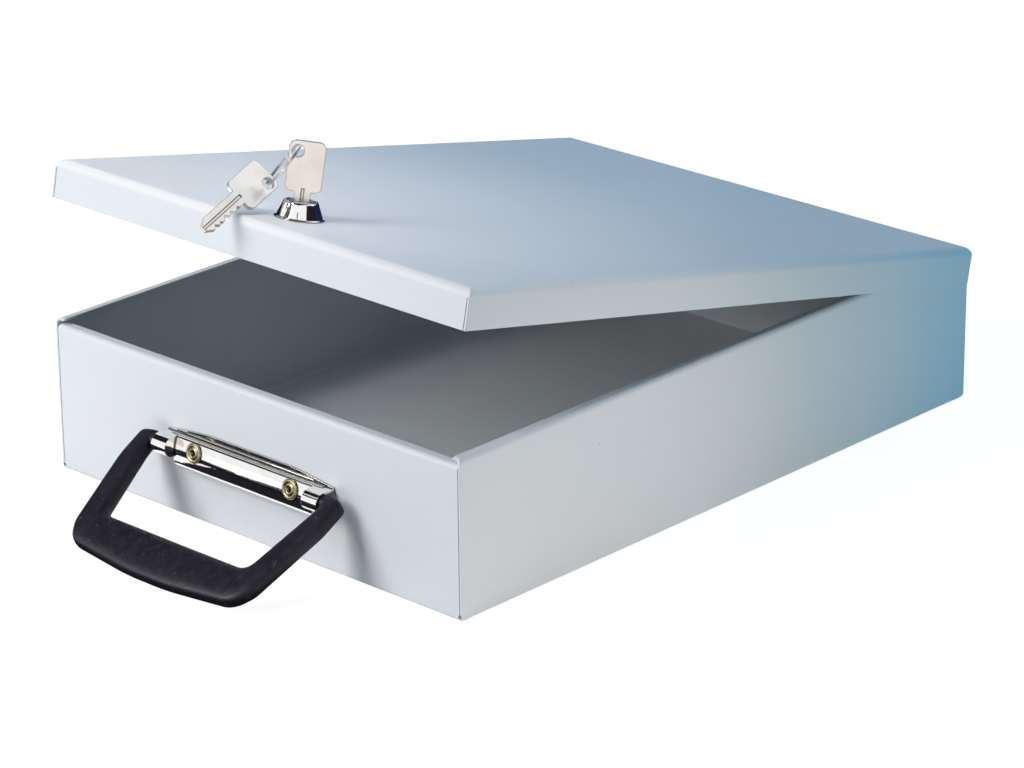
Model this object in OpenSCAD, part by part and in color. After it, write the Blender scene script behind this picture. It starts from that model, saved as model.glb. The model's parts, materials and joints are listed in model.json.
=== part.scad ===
// Lockable sheet-steel document box: folded tray, hinged lid, carry handle, cam lock and two keys.
// Millimetres. +Z up, the handle side faces -Y, the hinge side faces +Y.
// The origin is on the resting face, at the middle of the tray.

/* [Tray] */
// Outside width of the tray
box_w = 250; // [240:2:300]
// Outside depth of the tray, front wall to back wall
box_d = 340; // [320:2:380]
// Height of the two side walls
side_h = 73; // [70:1:84]
// How far the front wall stops below the side walls
front_drop = 3; // [2:0.5:4]
// Thickness of the tray's sheet
tray_sheet = 1; // [0.8:0.1:1.2]
// Outside radius of the tray's folds
fold_r = 2.3; // [2:0.1:2.5]
// Width of the rim folded in along the front wall
front_rim = 5.3; // [4.8:0.1:6]
// Width of the rims folded in along the side walls
side_rim = 4.8; // [4:0.1:7]
// Open slit left where two folded walls meet
corner_slit = 0.4; // [0.3:0.1:0.6]

/* [Lid] */
// Thickness of the lid's sheet
lid_sheet = 0.9; // [0.7:0.1:1]
// Outside radius of the lid's folds
lid_fold_r = 3.8; // [3.4:0.1:4.2]
// Depth of the lid's skirt
skirt_h = 17.5; // [16:0.5:22]
// Gap between the skirt and each side wall
side_gap = 0.5; // [0.4:0.1:0.8]
// Gap between the front skirt and the front wall
front_gap = 2.1; // [1.6:0.1:2.8]
// Gap between the lid's sheet and the side rims
top_gap = 0.4; // [0.3:0.1:0.6]
// How far the lid stands open
lid_open = 12; // [6:1:24]

/* [Hinge] */
// Length of the piano hinge
hinge_len = 220; // [180:5:224]
// Radius of the hinge pin
pin_r = 1; // [0.8:0.1:1.1]
// Thickness of the hinge leaves
leaf_t = 0.8; // [0.6:0.1:0.8]
// Height of the leaf on the back wall
tray_leaf_h = 12; // [9:1:18]

/* [Handle] */
// Height of the handle's pivot
pivot_z = 35.2; // [34:0.2:37]
// Distance of the pivot from the front wall
pivot_out = 7; // [6.6:0.1:7.6]
// Half width of the handle at the pivot
handle_half_w = 62.5; // [60:0.5:66]
// Half width of the handle near the grip
grip_half_w = 55.5; // [54:0.5:58]
// Reach of the grip's outer edge from the pivot
handle_reach = 64; // [61:0.5:66]
// Reach of the inner edge of the grip
window_reach = 43.4; // [40:0.2:45]
// Half width of the hand opening at the pivot
window_half_w = 53.2; // [53:0.1:54]
// Half width of the hand opening at the grip
window_end_w = 44.5; // [42:0.5:46]
// Thickness of the handle
handle_t = 8; // [7:0.2:8]
// Radius of the pegs that turn in the bracket
peg_r = 3.52; // [3.2:0.02:3.54]

/* [Bracket] */
// Half length of the chrome bracket
bracket_half = 51.4; // [50:0.2:52]
// Thickness of the bracket's sheet
bracket_t = 1; // [0.8:0.1:1]
// Inside radius of the rolled eyes at the bracket's ends
eye_r = 3.6; // [3.6:0.1:3.6]
// Length of each rolled eye
eye_len = 8.4; // [7:0.2:9]
// How far the pressed channel stands off the wall
channel_out = 6; // [5.4:0.1:6.2]
// Distance of each rivet from the middle
rivet_x = 30; // [26:1:34]
// Radius of the rivet heads
rivet_head_r = 4.6; // [4:0.1:4.6]

/* [Lock] */
// Distance of the lock's axis behind the lid's front edge
lock_back = 27; // [26.4:0.1:27.2]
// Base diameter of the conical lock cap
cap_base_d = 22; // [21:0.2:24]
// Top diameter of the conical lock cap
cap_top_d = 16; // [15.8:0.1:17]
// Height of the conical lock cap
cap_h = 8; // [8:0.2:9]
// Radius of the turning plug
plug_r = 5.2; // [5.2:0.05:5.3]
// Reach of the cam's tip from the lock's axis
cam_reach = 21.5; // [20.5:0.1:21.6]
// Half width of the cam
cam_half_w = 4; // [3.4:0.1:4]
// How far the key is turned from the locked position
key_turn = 45; // [45:1:55]

/* [Keys] */
// Width of a key's bow
bow_w = 15.8; // [15:0.1:17]
// Height of a key's bow
bow_h = 22; // [21:0.1:22.4]
// Thickness of a key
key_t = 1.9; // [1.7:0.1:2]
// Width of a key's blade
blade_w = 7.2; // [7:0.1:7.6]
// Length of a key's blade
blade_len = 26; // [24:0.2:26]
// Radius of the hole in a key's bow
bow_hole_r = 2.7; // [2.6:0.05:2.8]
// Radius of the ring's wire
ring_wire_r = 0.55; // [0.45:0.05:0.6]

/* [Hidden] */
$fn = 96;
eps = 0.01;
big = 400;
// tray
half_w = box_w / 2;
half_d = box_d / 2;
front_h = side_h - front_drop;
inner_fold_r = fold_r - tray_sheet;
rim_corner_r = 2.5;
relief_r = 0.9;
wall_end = half_w - tray_sheet - corner_slit;
// hinge
knuckles = 11;
knuckle_r = pin_r + 0.9;
knuckle_gap = 0.4;
running_fit = 0.05;
notch_gap = 0.5;
hinge_y = half_d + knuckle_r;
hinge_drop = 8;
hinge_z = side_h - hinge_drop;
back_gap = 3;
back_h = hinge_z - back_gap;
// lid, closed
lid_under = side_h + top_gap;
lid_top = lid_under + lid_sheet;
lid_half_w = half_w + side_gap + lid_sheet;
lid_front = -(half_d + front_gap + lid_sheet);
lid_back = half_d;
skirt_low = lid_top - skirt_h;
back_skirt_gap = 1.5;
back_skirt_low = hinge_z + back_skirt_gap;
side_wall_gap = 0.5;
side_wall_back = lid_back - lid_sheet - side_wall_gap;
// handle
pivot_y = -(half_d + pivot_out);
table_gap = 0.2;
handle_reach_true = sqrt(handle_reach * handle_reach + handle_t * handle_t / 4);
handle_droop = asin((pivot_z - table_gap) / handle_reach_true) - atan(handle_t / 2 / handle_reach);
grip_bow = 2.6;
grip_corner_r = 11;
grip_corner_in = 5.5;
grip_depth = 9;
arm_corner_r = 40;
arm_straight = 14;
arm_past = 4.2;
arm_end = 2.8;
arm_end_r = 3.4;
window_r = 5;
window_straight = 5;
peg_end_gap = 0.6;
// bracket
eye_out_r = eye_r + bracket_t;
shelf_z = pivot_z + eye_out_r;
flange_rise = 4.3;
flange_arc_r = 350;
flange_corner_r = 2.4;
flange_end_drop = 0.9;
channel_bend_r = 1.6;
channel_face_r = 20;
face_mid_drop = 3.8;
foot_turn = 8;
foot_arc_r = 5;
foot_h = 3;
face_mid_z = pivot_z - face_mid_drop;
face_centre = channel_out - channel_face_r;
bend_turn = asin((shelf_z - channel_bend_r - face_mid_z) / (channel_face_r - channel_bend_r));
bend_out = face_centre + (channel_face_r - channel_bend_r) * cos(bend_turn);
foot_arc_out = face_centre + (channel_face_r - foot_arc_r) * cos(foot_turn);
foot_arc_z = face_mid_z - (channel_face_r - foot_arc_r) * sin(foot_turn);
foot_low = foot_arc_z - foot_arc_r;
eye_lip = 3;
bead_r = 0.5;
bead_outs = [1.2, 2.6];
bead_end = 4.6;
bead_half = bracket_half - bead_end;
rivet_shank_r = 1.6;
rivet_hole_gap = 0.1;
rivet_head_t = 1.3;
rivet_rim_t = 0.8;
rivet_edge_r = 0.3;
rivet_sink = 0.5;
rivet_step_r = 3;
rivet_eye_r = 1.1;
rivet_eye_depth = 2;
rivet_tail_r = 2.8;
rivet_tail_t = 1.2;
rivet_tilt = asin(face_mid_drop / channel_face_r);
rivet_seat = face_centre + channel_face_r * cos(rivet_tilt);
backing_r = 5;
backing_t = 0.8;
// lock, in the closed lid's coordinates
lock_y = lid_front + lock_back;
barrel_r = 7.2;
barrel_flat = 6.2;
barrel_len = 15.3;
barrel_low = lid_top - barrel_len;
lock_flange_r = 8.8;
lock_flange_t = 1.2;
neck_r = 7;
neck_drop = 0.9;
neck_high = lid_top + cap_h - neck_drop;
lip_r = 6.2;
cap_foot_r = cap_base_d / 2 + 0.5;
cap_foot_t = 0.8;
cap_gap = 0.1;
plug_fit = 0.05;
plug_head_r = 5.9;
plug_head_t = 0.8;
nut_flats = 19;
nut_t = 3;
tail_half = 3;
stop_t = 0.7;
stop_r = 6.2;
stop_tab_r = 7.9;
stop_tab_half = 2;
stop_tab_turn = 14;
stop_gap = 2;
lug_in_r = 6.6;
lug_angle = 10;
lug_h = stop_t - 0.1;
cam_t = 1.6;
tail_low = barrel_low - stop_t - cam_t;
cam_hub_r = 6.4;
cam_tip_r = 1.5;
lock_washer_t = 0.6;
lock_washer_r = 3.9;
washer_split = 0.6;
screw_r = 1.5;
screw_head_r = 3.4;
screw_head_t = 2;
screw_depth = 1.4;
cross_len = 3.8;
cross_w = 0.9;
cross_depth = 1;
keeper_gap = 0.7;
keeper_t = 1;
keeper_half = 16;
keeper_leg = 11;
keeper_z = barrel_low - stop_t + keeper_gap;
// keys
shoulder_up = 11.4;
key_fit = 0.15;
bow_r = 3;
hole_across = -4;
hole_drop = 4.6;
hole_up = bow_h - hole_drop;
blade_tip = 4;
blade_nose = 1.4;
// each cut in a key's blade: distance below the shoulder, size
blade_cuts = [[4.4, 1.8], [9, 2.2], [12.8, 2.7], [16.8, 1.7], [20, 2.4]];
groove_w = 1.3;
groove_d = 0.45;
groove_top = 1.5;
keyway_floor = 0.6;
keyway_low = barrel_low + keyway_floor;
wafers = 4;
wafer_pitch = 2.9;
wafer_t = 1;
wafer_long = 9.4;
wafer_wide = 4;
wafer_fit = 0.05;
wafer_start = 3.4;
wafer_first = barrel_low + wafer_start;
// spare key: where its shoulder lies against the lid's front edge, and how it leans
spare_x = -14.83;
spare_in = 3.82;
spare_up = 6.24;
spare_turn = [56.28, -36.8, -146.78];
// ring: a circle through both holes, meeting the line between them at this angle
ring_chord_angle = 65;

// ---- points on the keys and the ring ----
locked_angle = 90;
plug_angle = locked_angle - key_turn;
key_hole = [hole_across * cos(plug_angle), lock_y + hole_across * sin(plug_angle),
    lid_top + shoulder_up + hole_up];
spare_origin = [spare_x, lid_front + spare_in, lid_top + spare_up];
function about_x(p, a) = [p[0], p[1] * cos(a) - p[2] * sin(a), p[1] * sin(a) + p[2] * cos(a)];
function about_y(p, a) = [p[0] * cos(a) + p[2] * sin(a), p[1], p[2] * cos(a) - p[0] * sin(a)];
function about_z(p, a) = [p[0] * cos(a) - p[1] * sin(a), p[0] * sin(a) + p[1] * cos(a), p[2]];
function leaned(p) = about_z(about_y(about_x(p, spare_turn[0]), spare_turn[1]), spare_turn[2]);
spare_hole = spare_origin + leaned([hole_across, 0, hole_up]);
hole_span = key_hole - spare_hole;
ring_u = hole_span / norm(hole_span);
bow_normal = [sin(plug_angle), -cos(plug_angle), 0];
ring_side = bow_normal - (bow_normal * ring_u) * ring_u;
ring_v = ring_side / norm(ring_side);
ring_n = cross(ring_u, ring_v);
ring_r = norm(hole_span) / 2 / sin(ring_chord_angle);
ring_centre = (key_hole + spare_hole) / 2 - ring_v * ring_r * cos(ring_chord_angle);

// ---- helpers ----
// a panel seen end on, with its own radius at the lower and the upper corners
module panel(x0, y0, x1, y1, low_r, high_r) {
    translate([x0, y0 + low_r]) square([x1 - x0, y1 - y0 - low_r - high_r]);
    if (low_r > 0) {
        translate([x0 + low_r, y0]) square([x1 - x0 - 2 * low_r, low_r + eps]);
        translate([x0 + low_r, y0 + low_r]) circle(low_r);
        translate([x1 - low_r, y0 + low_r]) circle(low_r);
    }
    if (high_r > 0) {
        translate([x0 + high_r, y1 - high_r - eps]) square([x1 - x0 - 2 * high_r, high_r + eps]);
        translate([x0 + high_r, y1 - high_r]) circle(high_r);
        translate([x1 - high_r, y1 - high_r]) circle(high_r);
    }
}

// an x-z outline drawn out along y, and a y-z outline drawn out along x
module along_y(y0, y1) translate([0, y1, 0]) rotate([90, 0, 0]) linear_extrude(y1 - y0) children();
module along_x(x0, x1) translate([x0, 0, 0]) rotate([90, 0, 90]) linear_extrude(x1 - x0) children();

function unit(v) = v / norm(v);
function tangent(p, q, angle_half, r) = p + unit(q - p) * r / tan(angle_half);
function corner_half(a, p, b) = acos(unit(a - p) * unit(b - p)) / 2;
// an outline whose corners are cut back to true arcs, each with its own radius (0 leaves it sharp)
module rounded_outline(pts, radii) difference() {
    n = len(pts);
    polygon(pts);
    for (i = [0:n - 1]) if (radii[i] > 0) {
        a = pts[(i + n - 1) % n];
        p = pts[i];
        b = pts[(i + 1) % n];
        h = corner_half(a, p, b);
        inward = unit(unit(a - p) + unit(b - p));
        difference() {
            polygon([tangent(p, a, h, radii[i]), p - inward, tangent(p, b, h, radii[i])]);
            translate(p + inward * radii[i] / sin(h)) circle(radii[i], $fn = 4 * $fn);
        }
    }
}

module lid_pose() translate([0, hinge_y, hinge_z]) rotate([-lid_open, 0, 0])
    translate([0, -hinge_y, -hinge_z]) children();
module lock_pose() lid_pose() translate([0, lock_y, 0]) children();
module plug_pose() lock_pose() rotate([0, 0, plug_angle]) children();
module handle_pose() translate([0, pivot_y, pivot_z]) rotate([handle_droop, 0, 0]) children();

// ---- tray ----
module wall_section(top, rim) {
    intersection() {
        difference() {
            panel(-half_d, 0, 0, top, fold_r, fold_r);
            panel(-half_d + tray_sheet, tray_sheet, half_d, top - tray_sheet, inner_fold_r, inner_fold_r);
        }
        translate([-half_d, 0]) square([rim, side_h]);
    }
}

module tray_shell() color([0.80, 0.82, 0.84]) difference() {
    union() {
        intersection() {
            along_y(-half_d, half_d) difference() {
                panel(-half_w, 0, half_w, side_h, fold_r, fold_r);
                panel(-half_w + tray_sheet, tray_sheet, half_w - tray_sheet, side_h - tray_sheet,
                    inner_fold_r, inner_fold_r);
                translate([-half_w + side_rim, side_h / 2]) square([box_w - 2 * side_rim, side_h]);
            }
            along_x(-half_w, half_w) union() {
                panel(-half_d, 0, half_d, back_h, fold_r, 0);
                panel(-half_d, fold_r, side_wall_back, side_h, 0, rim_corner_r);
            }
        }
        along_x(-wall_end, wall_end) wall_section(front_h, front_rim);
        along_x(-wall_end, wall_end) mirror([1, 0]) wall_section(back_h, front_rim);
    }
    for (sx = [-1, 1], sy = [-1, 1])
        translate([sx * (wall_end + corner_slit / 2), sy * half_d, fold_r]) rotate([90, 0, 0])
            cylinder(r = relief_r, h = 4 * tray_sheet, center = true);
    for (sx = [-1, 1])
        translate([sx * rivet_x, -half_d, pivot_z]) rotate([90, 0, 0])
            cylinder(r = rivet_shank_r + rivet_hole_gap, h = 4 * tray_sheet, center = true);
}

// angle welded inside the front wall, which the lock's cam turns under
module lock_keeper() color([0.72, 0.74, 0.76]) along_x(-keeper_half, keeper_half) {
    keeper_back = -half_d + tray_sheet;
    translate([keeper_back, keeper_z]) square([front_rim - tray_sheet, keeper_t]);
    translate([keeper_back, keeper_z - keeper_leg + keeper_t]) square([keeper_t, keeper_leg]);
}

// ---- hinge ----
module leaf(first, low, high) {
    pitch = hinge_len / knuckles;
    notch = knuckle_r + notch_gap;
    difference() {
        union() {
            translate([-hinge_len / 2, half_d, low]) cube([hinge_len, leaf_t, high - low]);
            for (i = [first:2:knuckles - 1])
                translate([-hinge_len / 2 + i * pitch + knuckle_gap / 2, hinge_y, hinge_z]) rotate([0, 90, 0])
                    cylinder(r = knuckle_r, h = pitch - knuckle_gap);
        }
        for (i = [1 - first:2:knuckles - 1])
            translate([-hinge_len / 2 + i * pitch - knuckle_gap / 2, half_d - eps, hinge_z - notch])
                cube([pitch + knuckle_gap, leaf_t + 2 * eps, 2 * notch]);
        translate([0, hinge_y, hinge_z]) rotate([0, 90, 0])
            cylinder(r = pin_r + first * running_fit, h = big, center = true);
    }
}

module hinge_leaf_tray() color([0.80, 0.82, 0.84]) leaf(0, back_h - tray_leaf_h, hinge_z);
module hinge_leaf_lid() color([0.80, 0.82, 0.84]) lid_pose() leaf(1, hinge_z, lid_top - lid_fold_r);
module hinge_pin() color([0.6, 0.6, 0.62]) translate([0, hinge_y, hinge_z]) rotate([0, 90, 0])
    cylinder(r = pin_r, h = hinge_len + 1, center = true);

// ---- lid ----
module lid_shell() color([0.80, 0.82, 0.84]) lid_pose() difference() {
    intersection() {
        along_y(lid_front, lid_back) panel(-lid_half_w, skirt_low, lid_half_w, lid_top, 0, lid_fold_r);
        along_x(-lid_half_w, lid_half_w) panel(lid_front, skirt_low, lid_back, lid_top, 0, lid_fold_r);
    }
    intersection() {
        inside_r = lid_fold_r - lid_sheet;
        along_y(lid_front, lid_back) panel(-lid_half_w + lid_sheet, skirt_low - 1,
            lid_half_w - lid_sheet, lid_under, 0, inside_r);
        along_x(-lid_half_w, lid_half_w) panel(lid_front + lid_sheet, skirt_low - 1,
            lid_back - lid_sheet, lid_under, 0, inside_r);
    }
    for (sx = [-1, 1], y = [lid_front, lid_back])
        translate([sx * (lid_half_w - lid_sheet - corner_slit / 2), y, skirt_low])
            cube([corner_slit, 2 * lid_sheet + 2 * eps, 2 * (skirt_h - lid_fold_r)], center = true);
    translate([0, lid_back, skirt_low]) cube([2 * (lid_half_w - lid_sheet), 2 * lid_sheet + 2 * eps,
        2 * (back_skirt_low - skirt_low)], center = true);
    translate([0, lock_y, lid_under - 1])
        barrel_outline(barrel_r + cap_gap, barrel_flat + cap_gap, lid_sheet + 2);
}

// ---- handle ----
module handle_grip() color([0.09, 0.09, 0.11]) handle_pose() {
    side = grip_half_w;
    along = window_reach + grip_depth;
    foot = side - grip_corner_in;
    difference() {
        translate([0, 0, -handle_t / 2]) linear_extrude(handle_t) mirror([0, 1]) rounded_outline(
            [[-handle_half_w, -arm_end], [-window_half_w, -arm_past], [window_half_w, -arm_past],
                [handle_half_w, -arm_end], [handle_half_w, arm_straight],
                [side, along], [foot, handle_reach - grip_bow], [0, handle_reach + grip_bow / 2],
                [-foot, handle_reach - grip_bow], [-side, along], [-handle_half_w, arm_straight]],
            [arm_end_r, 0, 0, arm_end_r, arm_corner_r, grip_corner_r, grip_corner_r, big,
                grip_corner_r, grip_corner_r, arm_corner_r]);
        translate([0, 0, -handle_t]) linear_extrude(2 * handle_t) mirror([0, 1]) rounded_outline(
            [[-window_half_w, -handle_t], [window_half_w, -handle_t], [window_half_w, window_straight],
                [window_end_w, window_reach], [-window_end_w, window_reach],
                [-window_half_w, window_straight]],
            [0, 0, arm_corner_r, window_r, window_r, arm_corner_r]);
    }
    peg_in = bracket_half - eye_len + peg_end_gap + bracket_t;
    for (sx = [-1, 1]) translate([sx * (window_half_w + 1 + peg_in) / 2, 0, 0])
        rotate([0, 90, 0]) cylinder(r = peg_r, h = window_half_w + 1 - peg_in, center = true);
}

// ---- bracket: outlines are (distance out from the wall, height) ----
module out_along_x(x0, x1) translate([0, -half_d, 0]) mirror([0, 1, 0]) along_x(x0, x1) children();

module flange_outline() {
    translate([0, shelf_z - bracket_t]) square([bracket_t, flange_rise + bracket_t]);
}

module eye_outline() {
    translate([0, shelf_z - bracket_t]) square([pivot_out, bracket_t]);
    intersection() {
        translate([pivot_out, pivot_z]) difference() {
            circle(eye_out_r);
            circle(eye_r);
        }
        translate([pivot_out, pivot_z - eye_out_r]) square([eye_out_r, 2 * eye_out_r]);
    }
    translate([pivot_out - eye_lip, pivot_z - eye_out_r]) square([eye_lip + eps, bracket_t]);
}

// a bent strip of the bracket's sheet, from one angle to another
module bend(r, from, to) {
    half = (to - from) / 2;
    far = 2 * r;
    difference() {
        intersection() {
            circle(r);
            polygon([[0, 0], far * [cos(from), sin(from)], far * [cos(from + half), sin(from + half)],
                far * [cos(to), sin(to)]]);
        }
        circle(r - bracket_t);
    }
}

module channel_outline() {
    turn_over = 0.5;
    translate([0, shelf_z - bracket_t]) square([bend_out + eps, bracket_t]);
    translate([bend_out, shelf_z - channel_bend_r]) bend(channel_bend_r, bend_turn - turn_over, 90);
    translate([face_centre, face_mid_z]) bend(channel_face_r, -foot_turn, bend_turn);
    translate([foot_arc_out, foot_arc_z]) bend(foot_arc_r, -90, turn_over - foot_turn);
    translate([0, foot_low]) square([foot_arc_out + eps, bracket_t]);
    translate([0, foot_low]) square([bracket_t, foot_h]);
}

module handle_bracket() color([0.85, 0.85, 0.86]) difference() {
    eye_in = bracket_half - eye_len;
    union() {
        intersection() {
            out_along_x(-bracket_half, bracket_half) flange_outline();
            along_y(-half_d - 2 * bracket_t, -half_d) intersection() {
                translate([0, shelf_z + flange_rise - flange_arc_r]) circle(flange_arc_r, $fn = 720);
                panel(-bracket_half, 0, bracket_half, shelf_z + flange_rise - flange_end_drop, 0,
                    flange_corner_r);
            }
        }
        out_along_x(-bracket_half, -eye_in) eye_outline();
        out_along_x(eye_in, bracket_half) eye_outline();
        out_along_x(-eye_in - eps, eye_in + eps) channel_outline();
        for (sx = [-1, 1]) out_along_x(sx * eye_in - bracket_t / 2, sx * eye_in + bracket_t / 2) union() {
            web_in = bend_out - bracket_t;
            translate([web_in, pivot_z - eye_out_r]) square([pivot_out - web_in, 2 * eye_out_r]);
            translate([pivot_out, pivot_z]) circle(eye_out_r);
        }
        for (out = bead_outs) translate([0, -half_d - out, shelf_z]) rotate([0, 90, 0])
            cylinder(r = bead_r, h = 2 * bead_half, center = true);
    }
    for (sx = [-1, 1])
        translate([sx * rivet_x, -half_d - channel_out, pivot_z]) rotate([90, 0, 0])
            cylinder(r = rivet_shank_r + rivet_hole_gap, h = channel_out, center = true);
}

// hollow rivets through the channel and the front wall; their heads lie against the leaning face
module handle_rivets() color([0.75, 0.68, 0.45]) for (sx = [-1, 1])
    translate([sx * rivet_x, -half_d, pivot_z]) difference() {
        tail = tray_sheet + backing_t;
        union() {
            rivet_head_pose() rotate_extrude() intersection() {
                union() {
                    panel(-rivet_head_r, 0, rivet_head_r, rivet_rim_t, 0, rivet_edge_r);
                    panel(-rivet_step_r, 0, rivet_step_r, rivet_head_t, 0, rivet_edge_r);
                }
                square(2 * rivet_head_r);
            }
            rotate([90, 0, 0]) translate([0, 0, -tail]) {
                cylinder(r = rivet_shank_r, h = tail + rivet_seat + rivet_sink);
                translate([0, 0, -rivet_tail_t]) cylinder(r = rivet_tail_r, h = rivet_tail_t);
            }
        }
        rivet_head_pose() translate([0, 0, rivet_head_t - rivet_eye_depth])
            cylinder(r = rivet_eye_r, h = 2 * rivet_eye_depth);
    }

module rivet_head_pose() translate([0, -rivet_seat, 0]) rotate([90 - rivet_tilt, 0, 0]) children();

module backing_washers() color([0.7, 0.7, 0.72]) for (sx = [-1, 1])
    translate([sx * rivet_x, -half_d + tray_sheet, pivot_z]) rotate([-90, 0, 0]) difference() {
        cylinder(r = backing_r, h = backing_t);
        translate([0, 0, -1]) cylinder(r = rivet_shank_r + rivet_hole_gap, h = backing_t + 2);
    }

// ---- lock, drawn about its own axis in the closed lid's heights ----
module barrel_outline(r, flat, h) intersection() {
    cylinder(r = r, h = h);
    translate([-flat, -r, 0]) cube([2 * flat, 2 * r, h]);
}

module lock_cap() color([0.86, 0.86, 0.87]) lock_pose() translate([0, 0, lid_top]) rotate_extrude()
    difference() {
        union() {
            square([cap_foot_r, cap_foot_t]);
            polygon([[0, 0], [cap_base_d / 2, 0], [cap_base_d / 2, cap_foot_t], [cap_top_d / 2, cap_h],
                [0, cap_h]]);
        }
        translate([-eps, -eps]) square([lock_flange_r + cap_gap + eps, lock_flange_t + cap_gap + eps]);
        translate([-eps, 0]) square([neck_r + cap_gap + eps, neck_high - lid_top + eps]);
        translate([-eps, 0]) square([lip_r + eps, cap_h + 1]);
    }

module lock_housing() color([0.68, 0.69, 0.71]) lock_pose() difference() {
    union() {
        translate([0, 0, lid_top]) cylinder(r = lock_flange_r, h = lock_flange_t);
        translate([0, 0, lid_top]) cylinder(r = neck_r, h = neck_high - lid_top);
        translate([0, 0, barrel_low]) barrel_outline(barrel_r, barrel_flat, lid_top - barrel_low + eps);
        tab_angle = asin(stop_tab_half / barrel_r) + stop_gap;
        stop_lug(plug_angle + stop_tab_turn - tab_angle - lug_angle);
        stop_lug(locked_angle + stop_tab_turn + tab_angle);
    }
    translate([0, 0, barrel_low - 1]) cylinder(r = plug_r + plug_fit, h = neck_high - barrel_low + 2);
    translate([0, 0, neck_high - plug_head_t]) cylinder(r = plug_head_r + plug_fit, h = 2);
}

// one of the two lugs under the barrel that the stop washer's tab turns between
module stop_lug(from) rotate(from) translate([0, 0, barrel_low - lug_h])
    rotate_extrude(angle = lug_angle) translate([lug_in_r, 0]) square([barrel_r - lug_in_r, lug_h + eps]);

module lock_nut() color([0.70, 0.70, 0.72]) lock_pose() translate([0, 0, lid_under - nut_t]) difference() {
    linear_extrude(nut_t) intersection_for (a = [0, 60, 120]) rotate(a)
        square([nut_flats, 2 * nut_flats], center = true);
    translate([0, 0, -1]) cylinder(r = barrel_r, h = nut_t + 2);
}

module lock_plug() color([0.72, 0.73, 0.75]) plug_pose() difference() {
    union() {
        translate([0, 0, barrel_low]) cylinder(r = plug_r, h = neck_high - barrel_low);
        translate([0, 0, neck_high - plug_head_t]) cylinder(r = plug_head_r, h = plug_head_t);
        translate([-tail_half, -tail_half, tail_low])
            cube([2 * tail_half, 2 * tail_half, barrel_low - tail_low + eps]);
    }
    translate([-blade_w / 2 - key_fit, -key_t / 2 - key_fit, keyway_low])
        cube([blade_w + 2 * key_fit, key_t + 2 * key_fit, lid_top]);
    for (i = [0:wafers - 1]) translate([-wafer_long / 2 - wafer_fit, -wafer_wide / 2 - wafer_fit,
        wafer_first + i * wafer_pitch - wafer_fit])
            cube([wafer_long + 2 * wafer_fit, wafer_wide + 2 * wafer_fit, wafer_t + 2 * wafer_fit]);
    translate([0, 0, tail_low - 1]) cylinder(r = screw_r, h = screw_depth + 1 + eps);
}

module lock_wafers() color([0.75, 0.66, 0.38]) plug_pose() for (i = [0:wafers - 1])
    translate([0, 0, wafer_first + i * wafer_pitch]) linear_extrude(wafer_t) difference() {
        square([wafer_long, wafer_wide], center = true);
        square([blade_w + 2 * key_fit, key_t + 2 * key_fit], center = true);
    }

module stop_washer() color([0.72, 0.72, 0.74]) plug_pose() translate([0, 0, barrel_low - stop_t])
    linear_extrude(stop_t) difference() {
        union() {
            circle(stop_r);
            rotate(stop_tab_turn) translate([0, -stop_tab_half]) square([stop_tab_r, 2 * stop_tab_half]);
        }
        square(2 * tail_half, center = true);
    }

module lock_cam() color([0.74, 0.74, 0.76]) plug_pose() translate([0, 0, barrel_low - stop_t - cam_t])
    linear_extrude(cam_t) difference() {
        union() {
            circle(cam_hub_r);
            translate([-cam_reach + cam_tip_r, -cam_half_w]) square([cam_reach - cam_tip_r, 2 * cam_half_w]);
            translate([-cam_reach, cam_tip_r - cam_half_w])
                square([2 * cam_tip_r, 2 * (cam_half_w - cam_tip_r)]);
            for (s = [-1, 1]) translate([-cam_reach + cam_tip_r, s * (cam_half_w - cam_tip_r)])
                circle(cam_tip_r);
        }
        square(2 * tail_half, center = true);
    }

module under_cam_pose() plug_pose() translate([0, 0, tail_low - lock_washer_t]) children();

module cam_washer() color([0.6, 0.6, 0.62]) under_cam_pose() difference() {
    cylinder(r = lock_washer_r, h = lock_washer_t);
    translate([0, 0, -1]) cylinder(r = screw_r + cap_gap, h = 2 + lock_washer_t);
    translate([0, -washer_split / 2, -1]) cube([lock_washer_r + 1, washer_split, 2 + lock_washer_t]);
}

module cam_screw() color([0.66, 0.66, 0.68]) under_cam_pose() difference() {
    union() {
        translate([0, 0, -screw_head_t]) cylinder(r = screw_head_r, h = screw_head_t);
        cylinder(r = screw_r, h = lock_washer_t + screw_depth);
    }
    for (a = [0, 90]) rotate(a) translate([0, 0, -screw_head_t])
        cube([cross_len, cross_w, 2 * cross_depth], center = true);
}

// ---- keys: drawn in x-z with the shoulder at the origin and the blade down ----
module bow_outline() difference() {
    panel(-bow_w / 2, 0, bow_w / 2, bow_h, bow_r, bow_r);
    translate([hole_across, hole_up]) circle(bow_hole_r);
}

module blade_outline() difference() {
    polygon([[-blade_w / 2, bow_r], [blade_w / 2, bow_r], [blade_w / 2, -blade_len + blade_tip],
        [blade_nose, -blade_len], [-blade_nose, -blade_len], [-blade_w / 2, -blade_len + blade_tip]]);
    for (cut = blade_cuts)
        translate([-blade_w / 2, -cut[0]]) rotate(45) square(cut[1], center = true);
}

module key_solid() translate([0, key_t / 2, 0]) difference() {
    rotate([90, 0, 0]) union() {
        linear_extrude(key_t) bow_outline();
        linear_extrude(key_t) blade_outline();
    }
    for (y = [0, -key_t]) translate([-groove_w / 2, y - groove_d, -blade_len - 1])
        cube([groove_w, 2 * groove_d, blade_len + 1 + groove_top]);
}

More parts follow.
